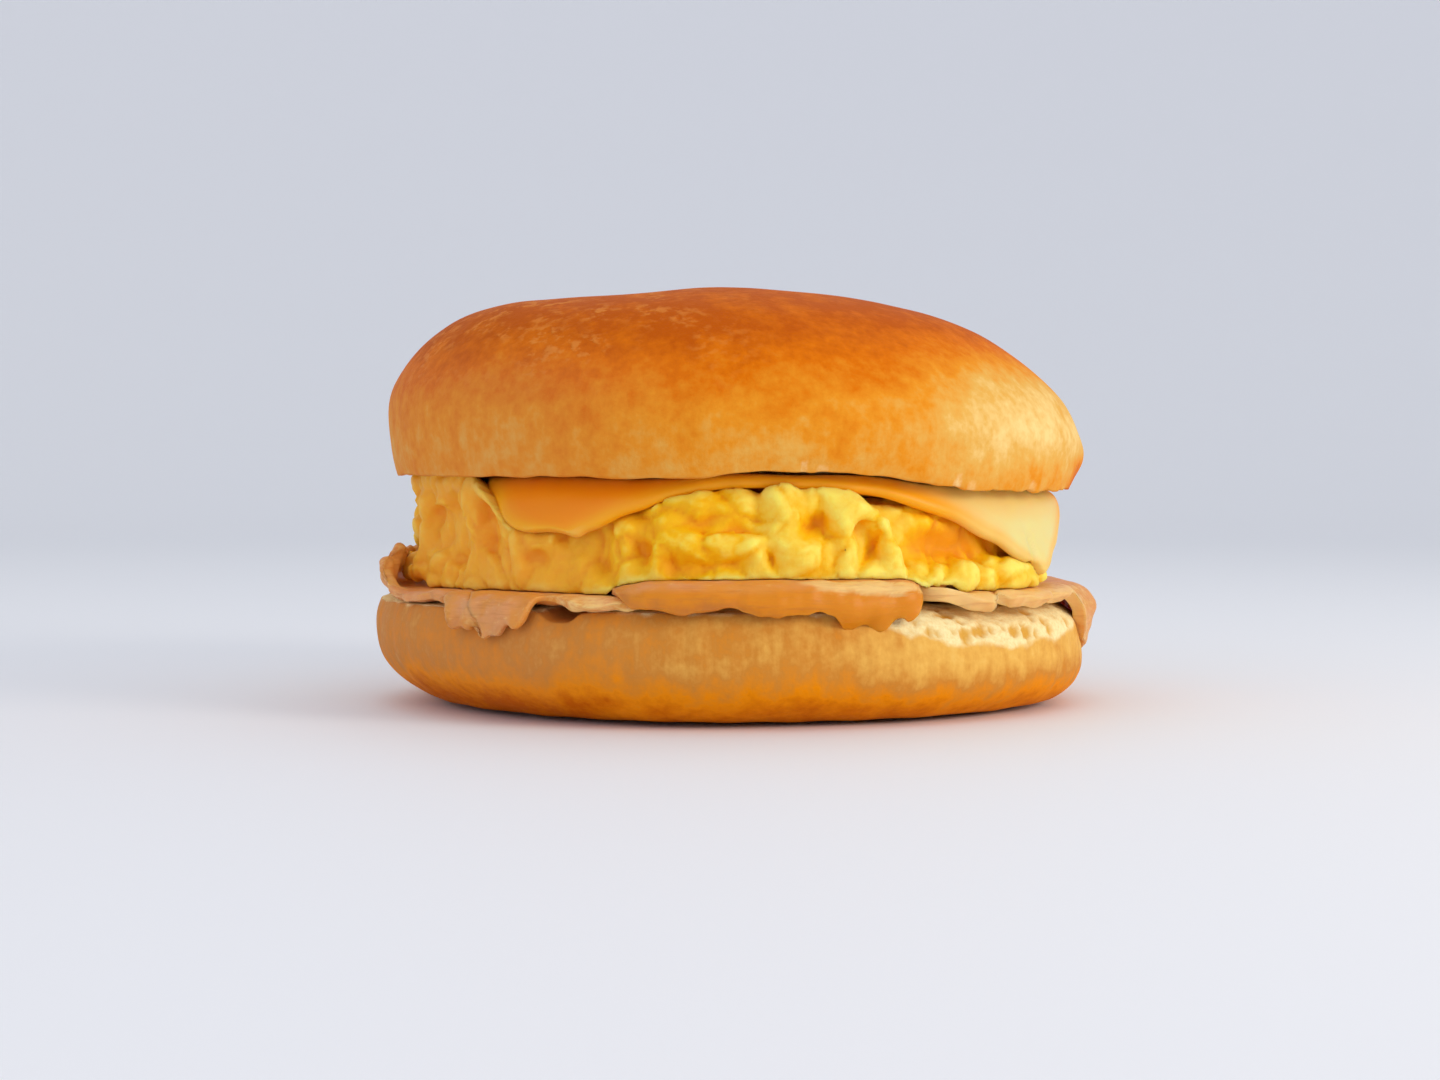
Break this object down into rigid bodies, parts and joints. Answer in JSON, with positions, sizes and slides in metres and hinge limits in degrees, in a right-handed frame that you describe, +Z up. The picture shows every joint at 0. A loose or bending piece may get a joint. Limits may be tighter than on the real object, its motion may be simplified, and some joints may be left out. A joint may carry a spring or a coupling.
{
  "type": "potato roll egg sandwich",
  "caption": "Soft golden potato roll filled with fluffy scrambled egg, a draped cheese slice and thin folded meat slices, resting on its flat base.",
  "frame": {"origin": "middle of the bottom bun's flat base, on the surface it rests on", "axes": "+Z up, -Y towards the front, where the cheese corners hang, +X to the right"},
  "size_m": [0.1073, 0.1028, 0.0608],
  "materials": {
    "top_crust": "soft golden brown crust with a slight gloss on the crown",
    "bottom_crust": "pale golden crust with cream crumb at the cut",
    "egg": "moist yellow scrambled curds",
    "cheese": "smooth soft orange-yellow slice",
    "meat": "moist pale pinkish beige slice with browned edges"
  },
  "bodies": {
    "root": {"bottom_bun": "bottom_crust", "meat_slice_left": "meat", "meat_slice_right": "meat", "meat_slice_middle": "meat", "scrambled_egg": "egg", "cheese_slice": "cheese", "top_bun": "top_crust"}
  },
  "joints": []
}
